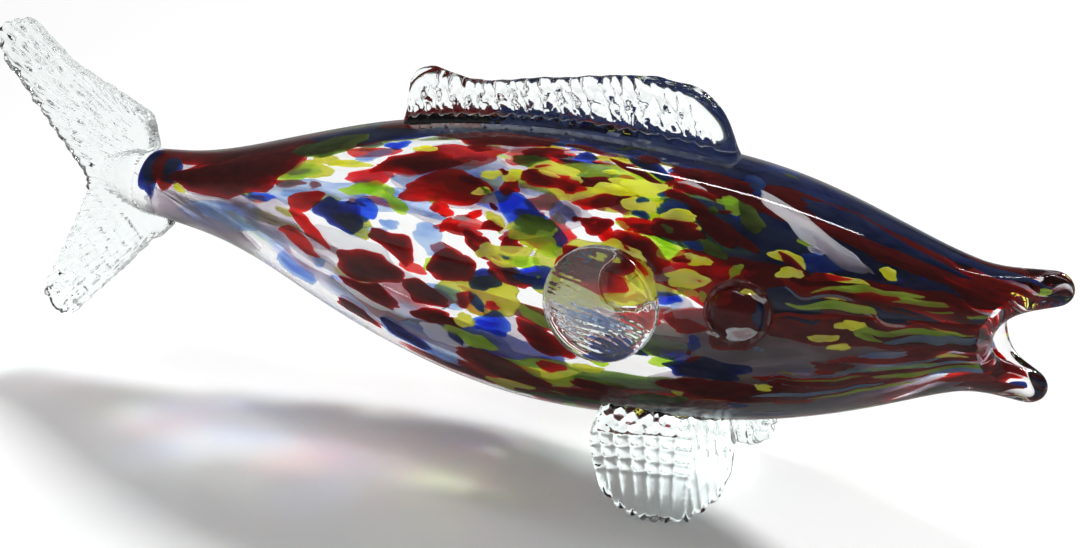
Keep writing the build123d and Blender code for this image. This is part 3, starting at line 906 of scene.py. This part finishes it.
def melted(node, name, material, voxel, passes):
    """Even, fire-rounded copy of a CAD node as a new piece, with its points and outward normals."""
    source = new_object(name + "_source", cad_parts[node].data.copy())
    remesh = source.modifiers.new("remesh", "REMESH")
    remesh.mode = "VOXEL"
    remesh.voxel_size = voxel * MM
    relax = source.modifiers.new("relax", "SMOOTH")
    relax.factor = 0.5
    relax.iterations = passes
    graph = bpy.context.evaluated_depsgraph_get()
    mesh = bpy.data.meshes.new_from_object(source.evaluated_get(graph))
    mesh.name = name
    bpy.data.objects.remove(source)
    mesh.materials.clear()
    mesh.materials.append(material)
    mesh.materials.append(joint_glass)
    mesh.polygons.foreach_set("use_smooth", [True] * len(mesh.polygons))
    piece = new_object(name, mesh)
    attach(piece, "root")
    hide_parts(node)
    bits.append(piece)
    return piece, vectors_of(mesh.vertices, "co") / MM, vectors_of(mesh.vertices, "normal")


def above_skin(points):
    """Distance of points out from the body's skin, and the way out."""
    x = points[:, 0]
    away = points - np.stack([x, 0 * x, middle_of(x)], -1)
    angle = np.arctan2(away[:, 2] / height_of(x), away[:, 1] / width_of(x))
    reach = np.linalg.norm(away, axis=-1)
    here = np.linalg.norm(points - away - skin(x, angle), axis=-1)
    return reach - here, away / np.maximum(reach, 1)[:, None]


def set_points(piece, points):
    """Puts moved points back, inside the CAD box, and melts them into the body where they meet it."""
    above, way = above_skin(points)
    on_body = step(ROOT_X - JOIN_BEHIND, ROOT_X + 0.4, points[:, 0])
    joined = points - way * (JOIN_DEPTH * on_body * step(JOIN_REACH, 0, above))[:, None]
    kept = np.clip(joined, np.array(cad_box[0]) / MM, np.array(cad_box[1]) / MM)
    piece.data.vertices.foreach_set("co", (kept * MM).ravel())
    piece.data.update()
    centres = vectors_of(piece.data.polygons, "center") / MM
    sunk = (above_skin(centres)[0] < SUNK) & (centres[:, 0] > ROOT_X - JOIN_BEHIND)
    piece.data.polygons.foreach_set("material_index", sunk.astype(int))


def disc_axes(points):
    """Middle of a disc, and its own axes: out of its face, up its face and along its face."""
    middle = points.mean(0)
    spread = np.linalg.eigh(np.cov((points - middle).T))[1]
    out = spread[:, 0]
    if out[1] * middle[1] < 0:
        out = -out
    up = (0, 0, 1) - out * out[2]
    up /= np.linalg.norm(up)
    return middle, out, up, np.cross(up, out)


# Tail: two lobes pulled out of a collar, crimped like a fan, with the collar's face sunk in the root
FAN_X = -112
FAN_Z = 66
CRIMPS = 128
CRIMP_HEIGHT = 0.62
DENT_HEIGHT = 0.45
TAIL_THINNING = 0.42
TAIL_SINK = 1.8
tail, p, n = melted("tail_fin", "tail_fin_glass", fin_glass, 0.7, 12)
fan = np.arctan2(p[:, 2] - FAN_Z, FAN_X - p[:, 0])
reach = np.hypot(p[:, 2] - FAN_Z, p[:, 0] - FAN_X)
crimp = np.sin(CRIMPS * fan + 2.2 * ripple(p, 3, 24) + np.where(p[:, 1] > 0, 1.1, 0))
crimp = crimp * (0.55 + 0.45 * ripple(p * (1, 0.2, 1), 5, 7))
dents = ripple(p, 8, 5)
strength = step(23, 36, reach) * (0.75 + 0.4 * step(70, 84, reach))
p = p + n * (strength * (CRIMP_HEIGHT * crimp + DENT_HEIGHT * dents - TAIL_THINNING))[:, None]
p[:, 0] = p[:, 0] + TAIL_SINK * step(ROOT_X - 3.0, ROOT_X - 0.4, p[:, 0])
set_points(tail, p)

# Dorsal fin: a ruffled web under a smooth thick edge, which is broader in front
DORSAL_EDGE_X = (-18, -14, -9, -4, 3, 9, 20, 34, 48, 62, 73, 82, 88, 93, 98, 101, 105)
DORSAL_EDGE_Z = (
    112, 118, 123, 125, 125, 123.6, 125.7, 128,
    130, 131.3, 131, 130.2, 128.5, 125.5, 121, 116.5, 111,
)
RUFFLE_PITCH = 5.8
FINGER_PITCH = 4.3
FACET_PITCH = 3.3
FACET_ROWS = 4.4
FOOT_FLARE = 1.7
dorsal, p = melted("dorsal_fin", "dorsal_fin_glass", fin_glass, 0.6, 8)[:2]
edge_of = smooth_curve(DORSAL_EDGE_X, DORSAL_EDGE_Z)
edge_x = np.linspace(DORSAL_EDGE_X[0], DORSAL_EDGE_X[-1], 240)
edge_line = np.stack([edge_x, edge_of(edge_x)], -1)
below = np.linalg.norm(p[:, [0, 2]][:, None] - edge_line, axis=-1).min(1)
above = above_skin(p)[0]
side = np.sign(p[:, 1])
front = step(64, 96, p[:, 0])
edge_band = 6.2 + 4.3 * front
rounding = np.sqrt(1 - (1 - np.clip(below / edge_band, 0, 1)) ** 2)
p[:, 1] = p[:, 1] * (0.3 + 0.7 * rounding)
slant = p[:, 0] + 0.4 * p[:, 2] + 2.2 * ripple(p * (1, 0, 1), 11, 18) + np.where(side > 0, 1.6, 0)
climb = p[:, 2] - 0.1 * p[:, 0] + 1.6 * ripple(p * (1, 0, 1), 14, 12)
ruffle = np.sin(TURN * slant / RUFFLE_PITCH)
fingers = below - 1.3 * np.sin(TURN * slant / FINGER_PITCH) - 3.2 * front
web = step(3.4, 5.8, fingers) * step(1.8, 4.4, above)
facets = np.sin(TURN * slant / FACET_PITCH + 2 * ripple(p, 12, 8)) * np.sin(TURN * climb / FACET_ROWS)
facets = facets + 0.6 * ripple(p, 13, 3.6)
flare = FOOT_FLARE * (1 - np.clip(above / 4.2, 0, 1)) ** 1.6
p[:, 1] = p[:, 1] + web * (0.6 * ruffle + side * (0.5 * facets - 0.75)) + side * flare
p[:, 2] = p[:, 2] - 0.4 * step(6, 0, below) * (1 + ripple(p * (1, 0, 0), 15, 11))
set_points(dorsal, p)

# Pectoral fins: the pitches of their tool marks, and the place and size of the knob
MARK_ROWS = 1.9
MARK_PITCH = 2.7
MARK_HEIGHT = 0.36
KNOB_RUN = 7
KNOB_RISE = 8
KNOB_SIZE = 6.5
KNOB_HEIGHT = 1.3
# Ventral fins: the pitches and depths of their ribs, beads and pleats, and the fold between the two parts
RIB_PITCH = 4.5
RIB_DEPTH = 2.3
BEAD_PITCH = 3.7
BEAD_DEPTH = 1.3
PLEAT_PITCH = 2.9
PLEAT_DEPTH = 1.5
FOLD_RUN = 9.2
FOLD_SIZE = 1.5
FOLD_HEIGHT = 1.6
# Eyes: the height and radius of the bead, and the height of the flange
EYE_RISE = 6.4
EYE_BEAD = 8.3
EYE_FLANGE = 1.4
for hand in ("right", "left"):
    # Pectoral fin: a disc with a smooth knob and a fine waffle of tool marks
    node = hand + "_pectoral_fin"
    piece, p, n = melted(node, node + "_glass", fin_glass, 0.55, 6)
    middle, out, up = disc_axes(p)[:3]
    rise = (p - middle) @ up
    run = p[:, 0] - middle[0]
    face = step(0.2, 0.7, n @ out)
    from_knob = np.hypot(run - KNOB_RUN, rise - KNOB_RISE)
    marks = step(5, 16, from_knob)
    rows_of_marks = np.sin(TURN * (rise + 0.25 * run + 0.8 * ripple(p, 18, 9)) / MARK_ROWS)
    marks_across = 0.6 + 0.4 * np.sin(TURN * (run - 0.2 * rise) / MARK_PITCH + 1.5 * ripple(p, 19, 7))
    knob = KNOB_HEIGHT * np.exp(-((from_knob / KNOB_SIZE) ** 2))
    relief = marks * (MARK_HEIGHT * rows_of_marks * marks_across + 0.25 * ripple(p, 17, 6)) + knob
    rim = step(13, 17, np.hypot(run, rise))
    p = p + n * (face * (relief * (1 - 0.8 * rim) + 0.3 * rim))[:, None]
    set_points(piece, p)

    # Ventral fin: a paddle with ribs down it, rows of beads across its middle and a pleated part in front
    node = hand + "_ventral_fin"
    piece, p, n = melted(node, node + "_glass", fin_glass, 0.55, 6)
    middle, out, up, along = disc_axes(p)
    rise = (p - middle) @ up
    run = (p - middle) @ along * np.sign(along[0])
    outer_face = step(0.1, 0.6, n @ out)
    inner_face = step(0.1, 0.6, -(n @ out))
    edge = step(0.55, 0.15, np.abs(n @ out)) * step(10, 4, rise)
    ribs = np.abs(np.sin(math.pi * (run * (1 - 0.012 * rise) + 0.06 * rise) / RIB_PITCH))
    rows_of_beads = np.abs(np.sin(math.pi * (rise + 0.5 * ripple(p, 21, 14)) / BEAD_PITCH))
    panel = step(10.5, 8.5, run)
    grooves = -RIB_DEPTH * (1 - ribs) ** 1.7 * step(11, 6, rise)
    beads = -BEAD_DEPTH * (1 - rows_of_beads) ** 1.5 * step(-7, -4, rise) * step(12, 8, rise)
    rough = 1.1 * step(7, 11, rise) * (ripple(p, 22, 3.8) - 0.5)
    pleats = np.abs(np.sin(math.pi * (run + 0.15 * rise + 0.9 * ripple(p, 24, 11)) / PLEAT_PITCH))
    pleats = -PLEAT_DEPTH * (1 - pleats) ** 1.6 + 0.5 * ripple(p, 25, 5) - 0.4
    fold = FOLD_HEIGHT * np.exp(-(((run - FOLD_RUN) / FOLD_SIZE) ** 2)) + (1 - panel) * pleats
    p = p + n * (outer_face * (panel * (grooves + beads + rough) + fold))[:, None]
    p = p + n * (inner_face * (0.35 * ripple(p, 26, 8) - 0.35) + edge * -1.4 * (1 - ribs) ** 1.2)[:, None]
    set_points(piece, p)

    # Eye: a round bead in a thin flange
    node = hand + "_eye"
    piece, p, n = melted(node, node + "_glass", body_glass, 0.4, 14)
    middle, out, up, along = disc_axes(p)
    across = np.hypot((p - middle) @ up, (p - middle) @ along)
    proud = step(0.1, 0.5, n @ out)
    bead = EYE_RISE * np.sqrt(np.clip(1 - (across / EYE_BEAD) ** 2.6, 0, 1))
    height = np.maximum(bead, EYE_FLANGE * step(10.6, 9.2, across))
    p = p + out * (proud * (height - above_skin(p)[0]))[:, None]
    set_points(piece, p)

# The skin under the bits melted onto it is inside the glass, where nothing bends the light
body.data.materials.append(joint_glass)
skin_points = vectors_of(body.data.vertices, "co")
skin_ways = vectors_of(body.data.vertices, "normal")
covered = np.zeros(len(skin_points), bool)
for piece in bits:
    corners = [tuple(vertex.co) for vertex in piece.data.vertices]
    sides = [tuple(face.vertices) for face in piece.data.polygons]
    solid = BVHTree.FromPolygons(corners, sides)
    low = np.min(corners, axis=0)
    high = np.max(corners, axis=0)
    near = np.all((skin_points > low) & (skin_points < high), axis=1)
    for i in np.nonzero(near)[0]:
        hit, way = solid.ray_cast(skin_points[i], skin_ways[i])[:2]
        if hit is not None and way.dot(skin_ways[i]) > 0:
            covered[i] = True
inside = [int(covered[list(face.vertices)].all()) for face in body.data.polygons]
body.data.polygons.foreach_set("material_index", inside)

# Floor, in metres: its half width, and how far off it begins and ends going over into the white round it
FLOOR_HALF = 6.0
FLOOR_NEAR = 0.45
FLOOR_FAR = 1.1
FLOOR_CORNERS = ((-1, -1), (1, -1), (1, 1), (-1, 1))


def floor_white():
    """Pale floor with painted shade where glass reflects it, which goes over into white far from the object.
    """
    material, tree, surface, output = new_material("floor_white")
    path = tree.nodes.new("ShaderNodeLightPath")
    tone = tree.nodes.new("ShaderNodeMix")
    tone.data_type = "RGBA"
    tone.inputs["A"].default_value = (0.96, 0.96, 0.96, 1)
    tone.inputs["B"].default_value = (0.34, 0.34, 0.34, 1)
    # Painted shade: the floor turns dark grey where it is seen in a reflection
    join(path, "Is Reflection Ray", tone, "Factor")
    join(tone, "Result", surface, "Base Color")
    surface.inputs["Roughness"].default_value = 0.9
    surface.inputs["Specular IOR Level"].default_value = 0.0
    place = tree.nodes.new("ShaderNodeTexCoord")
    distance = tree.nodes.new("ShaderNodeVectorMath")
    distance.operation = "LENGTH"
    far_off = tree.nodes.new("ShaderNodeMapRange")
    far_off.interpolation_type = "SMOOTHSTEP"
    far_off.inputs["From Min"].default_value = FLOOR_NEAR
    far_off.inputs["From Max"].default_value = FLOOR_FAR
    seen = tree.nodes.new("ShaderNodeMath")
    seen.operation = "MAXIMUM"
    share = tree.nodes.new("ShaderNodeMath")
    share.operation = "MULTIPLY"
    white = tree.nodes.new("ShaderNodeEmission")
    blend = tree.nodes.new("ShaderNodeMixShader")
    join(place, "Object", distance, 0)
    join(distance, "Value", far_off, "Value")
    join(path, "Is Camera Ray", seen, 0)
    join(path, "Is Transmission Ray", seen, 1)
    join(seen, "Value", share, 0)
    join(far_off, "Result", share, 1)
    join(share, "Value", blend, "Fac")
    join(surface, "BSDF", blend, 1)
    join(white, "Emission", blend, 2)
    join(blend, "Shader", output, "Surface")
    return material


floor_mesh = bpy.data.meshes.new("floor")
floor_mesh.from_pydata([(x * FLOOR_HALF, y * FLOOR_HALF, 0) for x, y in FLOOR_CORNERS], [], [(0, 1, 2, 3)])
floor_mesh.materials.append(floor_white())
floor = new_object("floor", floor_mesh)

# White surroundings: full white where they are seen, softer where they light matt surfaces
world = bpy.data.worlds.new("studio")
bpy.context.scene.world = world
world.use_nodes = True
studio = world.node_tree
rays = studio.nodes.new("ShaderNodeLightPath")
bearings = studio.nodes.new("ShaderNodeTexCoord")
split = studio.nodes.new("ShaderNodeSeparateXYZ")
join(bearings, "Generated", split, "Vector")


def dome(low, high, horizon, overhead):
    """Brightness of the surroundings by height, paler round the horizon and darker overhead."""
    ramp = studio.nodes.new("ShaderNodeMapRange")
    ramp.inputs["From Min"].default_value = low
    ramp.inputs["From Max"].default_value = high
    ramp.inputs["To Min"].default_value = horizon
    ramp.inputs["To Max"].default_value = overhead
    join(split, "Z", ramp, "Value")
    return ramp.outputs["Result"]


def choose(chooser, otherwise, chosen):
    """One value, or another for rays of one kind."""
    pick = studio.nodes.new("ShaderNodeMapRange")
    join(rays, chooser, pick, "Value")
    for name, value in (("To Min", otherwise), ("To Max", chosen)):
        if isinstance(value, float):
            pick.inputs[name].default_value = value
        else:
            studio.links.new(value, pick.inputs[name])
    return pick.outputs["Result"]


level = choose("Is Glossy Ray", 0.22, dome(0.0, 0.3, 0.5, 0.12))
level = choose("Is Transmission Ray", level, dome(0.05, 0.5, 1.0, 0.12))
level = choose("Is Camera Ray", level, 1.0)
backdrop = studio.nodes["Background"]
backdrop.inputs["Color"].default_value = (1, 1, 1, 1)
studio.links.new(level, backdrop.inputs["Strength"])


def soft_lamp(name, place, aim, size, watts):
    """Rectangular soft lamp at a place, turned to a point, all in metres."""
    light = bpy.data.lights.new(name, "AREA")
    light.shape = "RECTANGLE"
    light.size = size[0]
    light.size_y = size[1]
    light.energy = watts
    lamp = new_object(name, light)
    lamp.location = place
    lamp.rotation_euler = (Vector(aim) - Vector(place)).to_track_quat("-Z", "Y").to_euler()
    return lamp


soft_lamp("key", (1.1, 1.98, 2.3), (0, 0, 0.05), (0.45, 0.45), 100)
fill = soft_lamp("fill", (-0.8, -1.0, 0.9), (0, 0, 0.05), (0.7, 0.5), 3.8)
fill.visible_glossy = False
soft_lamp("strip", (0.05, 0.14, 1.1), (0.02, 0, 0.06), (0.7, 0.03), 1.4)

bpy.context.scene.view_settings.view_transform = "Standard"
bpy.context.scene.cycles.max_bounces = 40
bpy.context.scene.cycles.transmission_bounces = 32
bpy.context.scene.cycles.transparent_max_bounces = 48
